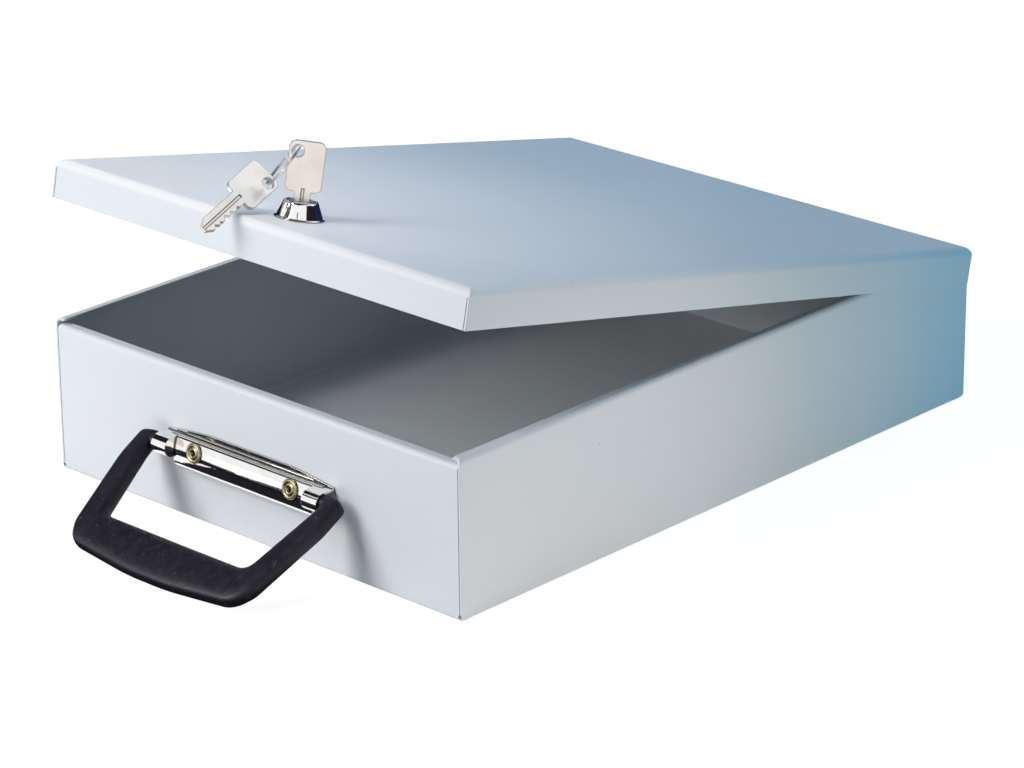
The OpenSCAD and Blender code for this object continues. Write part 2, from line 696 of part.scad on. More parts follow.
module key_in_lock() color([0.80, 0.76, 0.70])
    plug_pose() translate([0, 0, lid_top + shoulder_up]) key_solid();
module spare_key() color([0.80, 0.76, 0.70])
    lid_pose() translate(spare_origin) rotate(spare_turn) key_solid();
module key_ring() color([0.78, 0.78, 0.80]) lid_pose() translate(ring_centre)
    rotate([0, acos(ring_n[2]), atan2(ring_n[1], ring_n[0])])
        rotate_extrude() translate([ring_r, 0]) circle(ring_wire_r, $fn = 48);

tray_shell();
hinge_leaf_tray();
hinge_pin();
handle_bracket();
handle_rivets();
backing_washers();
lock_keeper();
handle_grip();
lid_shell();
hinge_leaf_lid();
lock_cap();
lock_housing();
lock_nut();
lock_plug();
lock_wafers();
stop_washer();
lock_cam();
cam_washer();
cam_screw();
key_in_lock();
key_ring();
spare_key();
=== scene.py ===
import math

import bmesh
import bpy
from mathutils import Matrix, Vector
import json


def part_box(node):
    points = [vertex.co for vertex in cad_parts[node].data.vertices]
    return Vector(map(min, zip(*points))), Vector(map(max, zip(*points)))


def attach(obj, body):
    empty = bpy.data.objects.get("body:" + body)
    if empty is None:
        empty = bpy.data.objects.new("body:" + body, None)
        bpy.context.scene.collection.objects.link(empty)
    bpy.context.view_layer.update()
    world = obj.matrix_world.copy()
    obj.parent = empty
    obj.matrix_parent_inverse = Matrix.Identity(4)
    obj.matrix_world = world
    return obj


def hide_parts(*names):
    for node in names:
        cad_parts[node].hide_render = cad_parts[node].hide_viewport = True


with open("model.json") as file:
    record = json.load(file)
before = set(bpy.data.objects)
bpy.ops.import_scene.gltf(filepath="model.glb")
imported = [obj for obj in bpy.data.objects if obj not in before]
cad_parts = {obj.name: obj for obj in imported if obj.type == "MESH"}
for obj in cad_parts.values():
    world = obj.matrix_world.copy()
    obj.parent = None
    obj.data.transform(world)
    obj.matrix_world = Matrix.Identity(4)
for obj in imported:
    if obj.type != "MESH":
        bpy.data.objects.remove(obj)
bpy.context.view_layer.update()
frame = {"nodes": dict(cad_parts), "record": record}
NODES = frame["nodes"]
SLOTS = {part["node"]: part["material_slot"] for part in frame["record"]["subparts"]}
JOINTS = {joint["name"]: joint for joint in frame["record"]["behaviour"]["joints"]}
SCENE = bpy.context.scene
COLLECTION = SCENE.collection
MM = 0.001

# ---- camera: metres and degrees in the part's frame, millimetres for the lens ----
CAMERA_AZIMUTH = 43.38
CAMERA_ELEVATION = 21.434
CAMERA_ROLL = -0.582
CAMERA_PLACE = (1.20351, -1.27972, 0.71368)
CAMERA_LENS = 144.53
SENSOR_WIDTH = 36
VIEW_DISTANCE = 50


def make_camera():
    """Place the camera by its azimuth from -Y, its elevation and a slight roll."""
    az, el, roll = (math.radians(a) for a in (CAMERA_AZIMUTH, CAMERA_ELEVATION, CAMERA_ROLL))
    ahead = Vector((-math.sin(az) * math.cos(el), math.cos(az) * math.cos(el), -math.sin(el)))
    level = ahead.cross(Vector((0, 0, 1))).normalized()
    upright = level.cross(ahead)
    right = level * math.cos(roll) + upright * math.sin(roll)
    up = upright * math.cos(roll) - level * math.sin(roll)
    data = bpy.data.cameras.new("camera")
    data.lens = CAMERA_LENS
    data.sensor_width = SENSOR_WIDTH
    data.clip_end = VIEW_DISTANCE
    camera = bpy.data.objects.new("camera", data)
    COLLECTION.objects.link(camera)
    turn = Matrix((right, up, -ahead)).transposed().to_4x4()
    camera.matrix_world = Matrix.Translation(Vector(CAMERA_PLACE)) @ turn
    SCENE.camera = camera


# ---- shader helpers: lengths in metres ----
BEVEL_SAMPLES = 4
OCCLUSION_SAMPLES = 6
# the colour sockets of a mix node: factor, first colour, second colour, and the result
MIX_FACTOR, MIX_A, MIX_B, MIX_OUT = 0, 6, 7, 2


class Shader:
    """A material's node tree, built by short calls."""

    def __init__(self, name):
        self.material = bpy.data.materials.new(name)
        self.material.use_nodes = True
        self.tree = self.material.node_tree
        self.base = self.tree.nodes["Principled BSDF"]
        self.coords = self.add("ShaderNodeTexCoord").outputs["Object"]

    def add(self, kind, inputs=(), **settings):
        """A node with its settings made and its inputs set or linked."""
        node = self.tree.nodes.new(kind)
        for key, value in settings.items():
            setattr(node, key, value)
        for key, value in dict(inputs).items():
            self.set(node.inputs[key], value)
        return node

    def set(self, socket, value):
        """Link another node's output to a socket, or write a plain value on it."""
        if isinstance(value, bpy.types.NodeSocket):
            self.tree.links.new(value, socket)
        else:
            socket.default_value = value

    def noise(self, scale, detail=2.0, rough=0.5, stretch=None):
        """Soft noise round 0.5, with its scale in features per metre."""
        where = self.coords
        if stretch:
            mapping = self.add("ShaderNodeMapping", {"Vector": where, "Scale": stretch})
            where = mapping.outputs[0]
        inputs = {"Vector": where, "Scale": scale, "Detail": detail, "Roughness": rough}
        return self.add("ShaderNodeTexNoise", inputs).outputs[0]

    def cells(self, scale):
        """Distance from the middle of the nearest cell."""
        inputs = {"Vector": self.coords, "Scale": scale}
        return self.add("ShaderNodeTexVoronoi", inputs).outputs["Distance"]

    def ramp(self, value, low=0.0, high=1.0, from_low=0.3, from_high=0.7):
        """Map a range of values onto low to high; the default range is that of the noise."""
        inputs = {"Value": value, "From Min": from_low, "From Max": from_high,
                  "To Min": low, "To Max": high}
        return self.add("ShaderNodeMapRange", inputs).outputs[0]

    def mix(self, factor, a, b):
        """Colour a at factor 0, colour b at factor 1."""
        node = self.add("ShaderNodeMix", data_type="RGBA")
        self.set(node.inputs[MIX_FACTOR], factor)
        self.set(node.inputs[MIX_A], a)
        self.set(node.inputs[MIX_B], b)
        return node.outputs[MIX_OUT]

    def bump(self, height, strength, distance, normal=None):
        """A normal that tilts with a height, on top of another normal if one is given."""
        inputs = {"Height": height, "Strength": strength, "Distance": distance}
        if normal:
            inputs["Normal"] = normal
        return self.add("ShaderNodeBump", inputs).outputs[0]

    def bevel(self, radius):
        """A normal that turns softly over the edges."""
        return self.add("ShaderNodeBevel", {"Radius": radius}, samples=BEVEL_SAMPLES).outputs[0]

    def edges(self, radius, low, high):
        """0 on flat stretches, 1 along edges and bends tighter than the radius."""
        true_normal = self.add("ShaderNodeNewGeometry").outputs["Normal"]
        both = {0: true_normal, 1: self.bevel(radius)}
        dot = self.add("ShaderNodeVectorMath", both, operation="DOT_PRODUCT")
        return self.ramp(dot.outputs["Value"], from_low=1 - low, from_high=1 - high)

    def cavity(self, distance, low=0.30, high=0.95):
        """1 deep in creases narrower than the distance, 0 on open stretches."""
        inputs = {"Distance": distance}
        open_share = self.add("ShaderNodeAmbientOcclusion", inputs, samples=OCCLUSION_SAMPLES)
        return self.ramp(open_share.outputs["AO"], low=1.0, high=0.0, from_low=low, from_high=high)

    def finish(self, color, roughness, normal, metallic=None, specular=None):
        """Link the looks to the material's shader and hand the material back."""
        self.set(self.base.inputs["Base Color"], color)
        self.set(self.base.inputs["Roughness"], roughness)
        self.set(self.base.inputs["Normal"], normal)
        if metallic is not None:
            self.base.inputs["Metallic"].default_value = metallic
        if specular is not None:
            self.base.inputs["Specular IOR Level"].default_value = specular
        return self.material


def rgb(r, g, b):
    """An opaque colour for a socket."""
    return (r, g, b, 1.0)


# ---- materials ----
PAINT_TONES = rgb(0.660, 0.685, 0.710), rgb(0.680, 0.705, 0.730)
PAINT_DUST = rgb(0.16, 0.15, 0.15)
CHROME_TONES = rgb(0.86, 0.845, 0.82), rgb(0.93, 0.92, 0.90)
# painted shade: the near-black colour that the chrome's creases are darkened to
CHROME_PAINTED_SHADE = rgb(0.01, 0.01, 0.012)
PLASTIC_TONES = rgb(0.0045, 0.0040, 0.0080), rgb(0.0100, 0.0092, 0.0175)
PLASTIC_SCUFF = rgb(0.045, 0.046, 0.058)
KEY_TONES = rgb(1.0, 0.97, 0.94), rgb(0.88, 0.84, 0.80)
# painted reflection: the dark colour laid along the keys' edges and bends
KEY_PAINTED_EDGE_REFLECTION = rgb(0.05, 0.042, 0.045)
# painted shade: the colour that the keys' creases are darkened to
KEY_PAINTED_SHADE = rgb(0.06, 0.045, 0.045)
RIVET_TONES = rgb(0.27, 0.24, 0.145), rgb(0.43, 0.39, 0.26)
# painted shade: the colour that the rivets' grooves are darkened to
RIVET_PAINTED_SHADE = rgb(0.07, 0.055, 0.03)
ZINC_PLATE_TONES = rgb(0.50, 0.50, 0.51), rgb(0.64, 0.64, 0.65)
DIE_CAST_TONES = rgb(0.56, 0.56, 0.57), rgb(0.64, 0.64, 0.65)


def paint_material():
    """Pale grey satin powder coat: faint orange peel, slow drifts of tone, a few dust specks."""
    s = Shader("paint")
    coat = s.mix(s.ramp(s.noise(scale=9, detail=3)), *PAINT_TONES)
    specks = s.ramp(s.cells(scale=46), low=0.35, high=0.0, from_low=0.016, from_high=0.03)
    peel = s.noise(scale=900, detail=2, rough=0.4)
    return s.finish(
        color=s.mix(specks, coat, PAINT_DUST),
        roughness=s.ramp(s.noise(scale=60, detail=4), low=0.42, high=0.50),
        normal=s.bump(peel, strength=0.10, distance=0.0002, normal=s.bevel(radius=0.0004)),
        specular=0.35)


def chrome_material():
    """Bright chrome plate over pressed steel: slightly wavy, with painted shade darkening its
    creases.
    """
    s = Shader("chrome_plate")
    plate = s.mix(s.ramp(s.noise(scale=140, detail=3)), *CHROME_TONES)
    # painted shade: darker in creases narrower than 1.2 mm
    creases = s.cavity(distance=0.0012, low=0.55, high=0.97)
    wave = s.bump(s.noise(scale=130, detail=2), strength=0.22, distance=0.0004,
                  normal=s.bevel(radius=0.0002))
    grain = s.noise(scale=1500, detail=3)
    return s.finish(
        color=s.mix(creases, plate, CHROME_PAINTED_SHADE),
        roughness=s.ramp(s.noise(scale=420, detail=3), low=0.03, high=0.08),
        normal=s.bump(grain, strength=0.10, distance=0.0001, normal=wave),
        metallic=1.0)


def plastic_material():
    """Blue-black moulded plastic with a fine leathery grain and small scuffs."""
    s = Shader("black_plastic")
    black = s.mix(s.ramp(s.noise(scale=35, detail=4, rough=0.6)), *PLASTIC_TONES)
    marks = s.noise(scale=420, detail=5, rough=0.7, stretch=(1, 0.4, 1))
    scuffs = s.ramp(marks, from_low=0.60, from_high=0.72)
    lumps = s.bump(s.noise(scale=90, detail=3), strength=0.20, distance=0.0006)
    return s.finish(
        color=s.mix(scuffs, black, PLASTIC_SCUFF),
        roughness=s.ramp(s.noise(scale=300, detail=3), low=0.36, high=0.52),
        normal=s.bump(s.cells(scale=1400), strength=0.22, distance=0.00018, normal=lumps),
        specular=0.30)


def plated_material(name, tones, rough_low, rough_high):
    """A plated metal: drifting tone, a fine grain and soft edges."""
    s = Shader(name)
    grain = s.noise(scale=700, detail=2)
    return s.finish(
        color=s.mix(s.ramp(s.noise(scale=220, detail=4)), *tones),
        roughness=s.ramp(s.noise(scale=700, detail=3), low=rough_low, high=rough_high),
        normal=s.bump(grain, strength=0.1, distance=0.0001, normal=s.bevel(radius=0.0003)),
        metallic=1.0)


def key_material():
    """Nickel-plated brass key stock, worn soft, with fine scratches, a smear or two, a painted dark
    reflection along its edges and painted shade in its creases.
    """
    s = Shader("key_nickel")
    smear = s.ramp(s.noise(scale=70, detail=2, rough=0.5), from_low=0.45, from_high=0.75)
    plate = s.mix(smear, *KEY_TONES)
    # painted reflection: dark along edges and bends tighter than 0.7 mm
    with_painted_edges = s.mix(s.edges(radius=0.0007, low=0.01, high=0.12), plate, KEY_PAINTED_EDGE_REFLECTION)
    # painted shade: darker in creases narrower than 0.6 mm
    creases = s.cavity(distance=0.0006, low=0.5, high=0.9)
    scratch = s.noise(scale=260, detail=4, rough=0.7, stretch=(6, 0.5, 1.4))
    return s.finish(
        color=s.mix(creases, with_painted_edges, KEY_PAINTED_SHADE),
        roughness=s.ramp(scratch, low=0.17, high=0.27),
        normal=s.bump(scratch, strength=0.04, distance=0.0001, normal=s.bevel(radius=0.0003)),
        metallic=0.7)


def rivet_material():
    """Yellow-passivated steel: olive gold, with painted shade that makes the grooves darker and
    greyer.
    """
    s = Shader("rivet_brass")
    gold = s.mix(s.ramp(s.noise(scale=380, detail=4, rough=0.6)), *RIVET_TONES)
    return s.finish(
        # painted shade: darker in grooves narrower than 0.9 mm
        color=s.mix(s.cavity(distance=0.0009), gold, RIVET_PAINTED_SHADE),
        roughness=s.ramp(s.noise(scale=900, detail=3), low=0.22, high=0.40),
        normal=s.bump(s.noise(scale=1200, detail=2), strength=0.10, distance=0.0001),
        metallic=1.0)


def make_materials():
    """One material for each slot, put on every node of the part."""
    by_slot = {
        "paint": paint_material(),
        "chrome": chrome_material(),
        "steel": plated_material("zinc_plate", ZINC_PLATE_TONES, rough_low=0.14, rough_high=0.26),
        "zinc": plated_material("die_cast", DIE_CAST_TONES, rough_low=0.25, rough_high=0.38),
        "brass": rivet_material(),
        "nickel": key_material(),
        "black_plastic": plastic_material(),
    }
    for name, obj in NODES.items():
        obj.data.materials.clear()
        obj.data.materials.append(by_slot[SLOTS[name]])
    return by_slot


# ---- helpers for the pieces: profiles in millimetres, meshes in metres ----
ARC_STEPS = 10
LENGTH_SLACK = 1e-12


def circle(sides):
    """Evenly spaced angles round a full turn."""
    return [2 * math.pi * k / sides for k in range(sides)]


def add_piece(name, bm, body, replaced=None, slot=None, smooth_angle=60):
    """Turn a bmesh into a piece that rides on a body and takes its material from a slot."""
    bmesh.ops.recalc_face_normals(bm, faces=bm.faces)
    mesh = bpy.data.meshes.new(name)
    bm.to_mesh(mesh)
    bm.free()
    for face in mesh.polygons:
        face.use_smooth = True
    mesh.set_sharp_from_angle(angle=math.radians(smooth_angle))
    piece = bpy.data.objects.new(name, mesh)
    COLLECTION.objects.link(piece)
    slot = slot or SLOTS[replaced]
    mesh.materials.append(MATERIALS[slot])
    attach(piece, body)
    if replaced:
        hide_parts(replaced)
    return piece


def loft(bm, rings, closed=False):
    """Skin a row of rings that have the same number of points; open rows are capped."""
    rows = [[bm.verts.new(point) for point in ring] for ring in rings]
    count = len(rows[0])
    pairs = list(zip(rows, rows[1:]))
    if closed:
        pairs.append((rows[-1], rows[0]))
    for a, b in pairs:
        for i in range(count):
            j = (i + 1) % count
            bm.faces.new((a[i], a[j], b[j], b[i]))
    if not closed:
        bm.faces.new(rows[0])
        bm.faces.new(rows[-1])


def revolve(bm, profile, place, sides=48):
    """Turn (radius, height) points about the local Z axis of a placement."""
    rings = [[place @ (Vector((r * math.cos(a), r * math.sin(a), h)) * MM) for a in circle(sides)]
             for r, h in profile]
    loft(bm, rings, closed=True)


def resample(points, count):
    """Evenly spaced points along a polyline."""
    lengths = [0.0]
    for a, b in zip(points, points[1:]):
        lengths.append(lengths[-1] + (b - a).length)
    out = []
    for k in range(count):
        want = lengths[-1] * k / (count - 1)
        i = max(n for n in range(len(points) - 1) if lengths[n] <= want + LENGTH_SLACK)
        step = lengths[i + 1] - lengths[i]
        out.append(points[i].lerp(points[i + 1], (want - lengths[i]) / step))
    return out


def rounded(corners, radii):
    """A polyline through the corners, each inner one turned into an arc of its own radius."""
    points = [corners[0]]
    for a, p, b, r in zip(corners, corners[1:], corners[2:], radii):
        u, v = (a - p).normalized(), (b - p).normalized()
        half = u.angle(v) / 2
        centre = p + (u + v).normalized() * r / math.sin(half)
        start, end = p + u * r / math.tan(half), p + v * r / math.tan(half)
        for k in range(ARC_STEPS + 1):
            ray = (start - centre).lerp(end - centre, k / ARC_STEPS)
            points.append(centre + ray.normalized() * r)
    points.append(corners[-1])
    return points


# ---- handle: x across, y from the pivot's line out to the grip ----
HANDLE_HALF = 62.4
HANDLE_GRIP_HALF = 55.4
HANDLE_REACH = 63.9
HANDLE_BOW = 2.6
HANDLE_CROWN = HANDLE_REACH + HANDLE_BOW / 2 - 0.1
HANDLE_CROWN_HALF = 12
HANDLE_THICK = 7.9
HANDLE_WINDOW = 53.3
HANDLE_WINDOW_END = 44.6
HANDLE_WINDOW_REACH = 43.5
HANDLE_SQUARENESS = 3.4
HANDLE_TABLE_GAP = 0.2
# where the outer edge of an arm bends in, where it meets the grip, and how far its corner is cut
ARM_BEND = 14
ARM_GRIP_DROP = 9
GRIP_CORNER_IN = 5.5
WINDOW_BEND = 5
OUTER_RADII = (40, 11, 11, 150)
INNER_RADII = (40, 6)
# how far the arms reach past the pivot, at the window and outside, and their ends' roundings
ARM_PAST_IN = 4.1
ARM_PAST_OUT = 2.7
ARM_CORNER_OUT = 3.4
ARM_CORNER_IN = 0.9
ARM_EDGE = 2.1
ARM_END_STEPS = 10
ARM_STATIONS = 34
GRIP_STATIONS = 26
BAR_SIDES = 32
PEG_RADIUS = 3.5
PEG_END = 44.6
PEG_ROOT = 2
PEG_CHAMFER = 0.4
PEG_SIDES = 40
# the solid handle's reach and half thickness, which settle how it rests on the table
SOLID_REACH = 64
SOLID_HALF_THICK = 4


def handle_droop():
    """The angle at which the grip's lower edge comes to rest just above the table."""
    pivot_height = JOINTS["handle_pivot"]["pos_m"][2] / MM
    to_edge = math.hypot(SOLID_REACH, SOLID_HALF_THICK)
    edge_angle = math.atan(SOLID_HALF_THICK / SOLID_REACH)
    return math.asin((pivot_height - HANDLE_TABLE_GAP) / to_edge) - edge_angle


def quarter(depth, radius):
    """How far a rounded edge still stands back at a depth below its end."""
    return radius - math.sqrt(max(radius ** 2 - max(radius - depth, 0) ** 2, 0))


def outer_edge():
    """The outer edge of the right half, from the arm's end to the middle of the grip."""
    corners = ((HANDLE_HALF, ARM_CORNER_OUT - ARM_PAST_OUT),
               (HANDLE_HALF, ARM_BEND),
               (HANDLE_GRIP_HALF, HANDLE_WINDOW_REACH + ARM_GRIP_DROP),
               (HANDLE_GRIP_HALF - GRIP_CORNER_IN, HANDLE_REACH - HANDLE_BOW),
               (HANDLE_CROWN_HALF, HANDLE_CROWN),
               (0, HANDLE_CROWN))
    return rounded([Vector(p) for p in corners], OUTER_RADII)


def window_edge():
    """The edge of the hand opening on the same half."""
    corners = ((HANDLE_WINDOW, ARM_CORNER_OUT - ARM_PAST_IN),
               (HANDLE_WINDOW, WINDOW_BEND),
               (HANDLE_WINDOW_END, HANDLE_WINDOW_REACH),
               (0, HANDLE_WINDOW_REACH))
    return rounded([Vector(p) for p in corners], INNER_RADII)


def half_bar():
    """Stations from the arm's end to the grip's middle: outer and inner point, half thickness."""
    half_thick = HANDLE_THICK / 2
    outer, inner = outer_edge(), window_edge()
    # the arm ends where the outer edge's third arc starts, halfway round the window's second arc
    arc = ARC_STEPS + 1
    outer_corner, inner_corner = 1 + arc + arc, 1 + arc + arc // 2
    arm = zip(resample(outer[:outer_corner + 1], ARM_STATIONS),
              resample(inner[:inner_corner + 1], ARM_STATIONS))
    grip = zip(resample(outer[outer_corner:], GRIP_STATIONS),
               resample(inner[inner_corner:], GRIP_STATIONS))
    stations = []
    for step in range(ARM_END_STEPS):
        depth = ARM_CORNER_OUT * (step / ARM_END_STEPS) ** 2
        out_x = HANDLE_HALF - quarter(depth, ARM_CORNER_OUT)
        in_x = HANDLE_WINDOW + quarter(depth, ARM_CORNER_IN)
        stations.append((Vector((out_x, depth - ARM_PAST_OUT)), Vector((in_x, depth - ARM_PAST_IN)),
                         half_thick - quarter(depth, ARM_EDGE)))
    stations += [(o, i, half_thick) for o, i in list(arm) + list(grip)[1:]]
    return stations


def squared(value):
    """A cosine or sine drawn out towards the corners, for a bar with flat sides and round edges."""
    return math.copysign(abs(value) ** (2 / HANDLE_SQUARENESS), value)


def make_handle():
    """Moulded loop: a soft-edged bar lofted from one arm round the grip to the other."""
    half = half_bar()
    mirrored = [(Vector((-o.x, o.y)), Vector((-i.x, i.y)), thick)
                for o, i, thick in reversed(half[:-1])]
    pivot = Vector(JOINTS["handle_pivot"]["pos_m"])
    place = Matrix.Translation(pivot) @ Matrix.Rotation(handle_droop(), 4, "X")
    rings = []
    for o, i, thick in half + mirrored:
        middle, across = (o + i) / 2, (o - i) / 2
        ring = []
        for turn in circle(BAR_SIDES):
            flat = middle + across * squared(math.cos(turn))
            height = thick * squared(math.sin(turn))
            ring.append(place @ (Vector((flat.x, -flat.y, height)) * MM))
        rings.append(ring)
    bm = bmesh.new()
    loft(bm, rings)
    peg = ((HANDLE_WINDOW + PEG_ROOT, PEG_RADIUS), (PEG_END + PEG_CHAMFER, PEG_RADIUS),
           (PEG_END, PEG_RADIUS - PEG_CHAMFER))
    for side in (-1, 1):
        loft(bm, [[place @ (Vector((side * x, r * math.cos(a), r * math.sin(a))) * MM)
                   for a in circle(PEG_SIDES)] for x, r in peg])
    add_piece("handle_loop", bm, "handle", "handle_grip")


# ---- rivets ----
# (radius, height above the face that the head lies on)
RIVET_HEAD = ((0.9, -1.2), (0.95, -0.2), (1.15, 0.3), (1.4, 0.85), (1.75, 1.1), (2.2, 1.05),
              (2.5, 0.7), (2.8, 0.6), (3.1, 0.85), (3.6, 1.05), (4.1, 0.95), (4.45, 0.6),
              (4.55, 0.2), (4.45, 0.0), (1.6, 0.0), (1.6, -1.2))
# the shank's upper end under the head, and its rolled end as (radius, height above the very end)
RIVET_SHANK = ((0.9, -0.6), (1.6, -0.6))
RIVET_TAIL = ((1.6, 1.2), (2.4, 1.2), (2.75, 0.8), (2.6, 0.2), (2.0, 0.0), (0.9, 0.0))
RIVET_TILT = 10.95
RIVET_SEAT = 5.636
RIVET_HEAD_RADIUS = 4.6
RIVET_SMOOTH = 50


def make_rivets():
    """Hollow rivets with a rolled head, drawn down to a second ring round the eye."""
    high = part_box("handle_rivets")[1]
    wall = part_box("tray_shell")[0][1]
    height = JOINTS["handle_pivot"]["pos_m"][2]
    seat = wall - RIVET_SEAT * MM
    tail = (seat - high[1]) / MM
    shank = RIVET_SHANK + tuple((r, tail + h) for r, h in RIVET_TAIL)
    bm = bmesh.new()
    for side in (-1, 1):
        spot = Matrix.Translation((side * (high[0] - RIVET_HEAD_RADIUS * MM), seat, height))
        revolve(bm, RIVET_HEAD, spot @ Matrix.Rotation(math.radians(90 - RIVET_TILT), 4, "X"))
        revolve(bm, shank, spot @ Matrix.Rotation(math.radians(90), 4, "X"))
    add_piece("rolled_rivets", bm, "tray", "handle_rivets", smooth_angle=RIVET_SMOOTH)


# ---- bracket ----
# each rib's place outwards from the wall and upwards from the shelf, its radius and its half length
RIBS = ((1.5, 0.0, 0.68, 49), (3.05, 0.0, 0.66, 49), (0.85, 1.75, 0.42, 40))
RIB_END = 1.2
RIB_TIP = 0.2
RIB_SIDES = 20
FLANGE_RISE = 4.3


def make_ribs():
    """Pressed ribs that run along the bracket's shelf and along the flange behind it."""
    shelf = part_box("handle_bracket")[1][2] - FLANGE_RISE * MM
    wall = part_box("tray_shell")[0][1]
    bm = bmesh.new()
    for out, up, radius, half in RIBS:
        tip = RIB_TIP * radius
        stations = ((-half, tip), (RIB_END - half, radius), (half - RIB_END, radius), (half, tip))
        loft(bm, [[Vector((x * MM, wall - (out + r * math.cos(a)) * MM,
                           shelf + (up + r * math.sin(a)) * MM)) for a in circle(RIB_SIDES)]
                  for x, r in stations])
    add_piece("bracket_ribs", bm, "tray", slot="chrome")


# ---- lock cap ----
# (radius, height above the lid): foot, crease, cone, rolled rim, and back down inside
CAP_PROFILE = ((11.1, 0.02), (11.15, 0.3), (11.0, 0.55), (10.6, 0.62), (10.4, 0.7), (10.3, 0.95),
               (9.2, 3.5), (8.1, 6.2), (7.95, 6.7), (7.75, 7.15), (7.5, 7.45), (7.2, 7.58),
               (6.8, 7.6), (6.4, 7.5), (6.2, 7.3), (6.2, 7.14), (7.1, 7.14), (7.1, 1.35),
               (8.9, 1.35), (8.9, 0.02))
CAP_SIDES = 120
CAP_SMOOTH = 50


def make_cap():
    """Spun conical cap: a flat foot, a smooth cone and a rolled rim round the plug."""
    axis = Vector(JOINTS["lock_turn"]["axis"])
    axis *= math.copysign(1, axis.z)
    turn = Vector((0, 0, 1)).rotation_difference(axis).to_matrix().to_4x4()
    place = Matrix.Translation(Vector(JOINTS["lock_turn"]["pos_m"])) @ turn
    bm = bmesh.new()
    revolve(bm, CAP_PROFILE, place, sides=CAP_SIDES)
    add_piece("spun_cap", bm, "lid", "lock_cap", smooth_angle=CAP_SMOOTH)


# ---- key ring ----
RING_WIRE = 0.28
RING_PITCH = 0.60
RING_TURNS = 1.97
# how far the wire's middle lies inside the solid ring's outline
RING_INSET = 0.55
# where along the wire it steps over to its second turn, and over what share of its length
RING_STEP_FROM = 0.42
RING_STEP_SHARE = 0.16
RING_TIP = 0.6
RING_STATIONS = 150
RING_SIDES = 12


def make_split_ring():
    """Two turns of wire side by side, in the plane of the solid ring."""
    points = [v.co.copy() for v in NODES["key_ring"].data.vertices]
    centre = sum(points, Vector()) / len(points)
    far = max(points, key=lambda p: (p - centre).length) - centre
    side = max(points, key=lambda p: far.cross(p - centre).length) - centre
    normal = far.cross(side).normalized()
    u = (far - normal * far.dot(normal)).normalized()
    v = normal.cross(u)
    radius = far.length - RING_INSET * MM
    rings = []
    for k in range(RING_STATIONS + 1):
        share = k / RING_STATIONS
        angle = 2 * math.pi * RING_TURNS * share
        outward = u * math.cos(angle) + v * math.sin(angle)
        climb = min(max((share - RING_STEP_FROM) / RING_STEP_SHARE, 0.0), 1.0) - 0.5
        spot = centre + outward * radius + normal * climb * RING_PITCH * MM
        wire = RING_WIRE * MM * (RING_TIP if k in (0, RING_STATIONS) else 1)
        rings.append([spot + (outward * math.cos(a) + normal * math.sin(a)) * wire
                      for a in circle(RING_SIDES)])
    bm = bmesh.new()
    loft(bm, rings)
    add_piece("split_ring", bm, "ring", "key_ring")


# ---- stage: metres, degrees and watts ----
FLOOR_HALF = 12
FLOOR_DROP = 0.0002
FLOOR_GLOW = 0.93
# the floor as it sends light on, and as the camera and the mirrors see it under its glow
FLOOR_GREY = rgb(0.8, 0.8, 0.8)
FLOOR_SEEN = rgb(0.22, 0.22, 0.22)
WORLD_FILL = rgb(0.05, 0.075, 0.10)
WORLD_SEEN = rgb(1, 1, 1)
CARD_BLACK = (0.015, 0.015, 0.02)
CARD_BLUE = (0.035, 0.06, 0.20)
CARD_NAVY = (0.012, 0.02, 0.07)
CARD_CREAM = (0.80, 0.74, 0.69)
CARD_CENTRE = -0.15
CARD_STEPS = 6
# azimuth in degrees from -Y towards +X, spread, distance, lowest and highest edge, colour
CARDS = {
    "card_cap_left": (-66, 18, 0.5, 0.26, 0.6, CARD_BLACK),
    "card_cap_front": (-28, 32, 0.5, 0.44, 0.8, CARD_BLACK),
    "card_cap_right": (171, 60, 0.6, 0.0, 0.32, CARD_NAVY),
    "card_eyes": (-42, 40, 0.5, 0.30, 0.42, CARD_BLACK),
    "card_left": (-86, 40, 0.5, 0.32, 0.62, CARD_BLACK),
    "card_left_low": (-98, 64, 0.5, 0.0, 0.34, CARD_BLACK),
    "card_right": (109, 38, 2.3, 0.35, 1.8, CARD_BLACK),
    "card_right_low": (153, 52, 2.3, 0.1, 0.95, CARD_BLACK),
    "card_back_blue": (-156, 46, 2.3, -0.1, 1.4, CARD_BLUE),
    "card_key": (47, 50, 0.9, 0.0, 0.5, CARD_CREAM),
}
# level boards: near left corner, far right corner, height
BOARDS = {
    "card_ceiling": ((-2.4, -2.2), (1.7, 1.5), 2.6),
    "card_under_bracket": ((-0.075, -0.32), (0.075, -0.183), 0.001),
}
# place, target, size, power, colour
BOXES = {
    "front_left": ((-0.6, -1.4, 0.9), (0, -0.1, 0.06), (0.8, 0.8), 20.9, (0.988, 1.0, 0.968)),
    "right_blue": ((1.5, 0.35, 0.05), (0.12, 0.05, 0.04), (0.8, 0.09), 5.4, (0.138, 0.715, 1.0)),
    "top_back": ((0.1, 1.3, 1.1), (0, 0.1, 0.08), (1.0, 0.8), 10.9, (0.205, 0.65, 1.0)),
    "left_back": ((-1.4, 0.45, 0.4), (-0.12, 0.05, 0.04), (0.8, 0.6), 3.4, (0.8, 0.93, 1.0)),
}
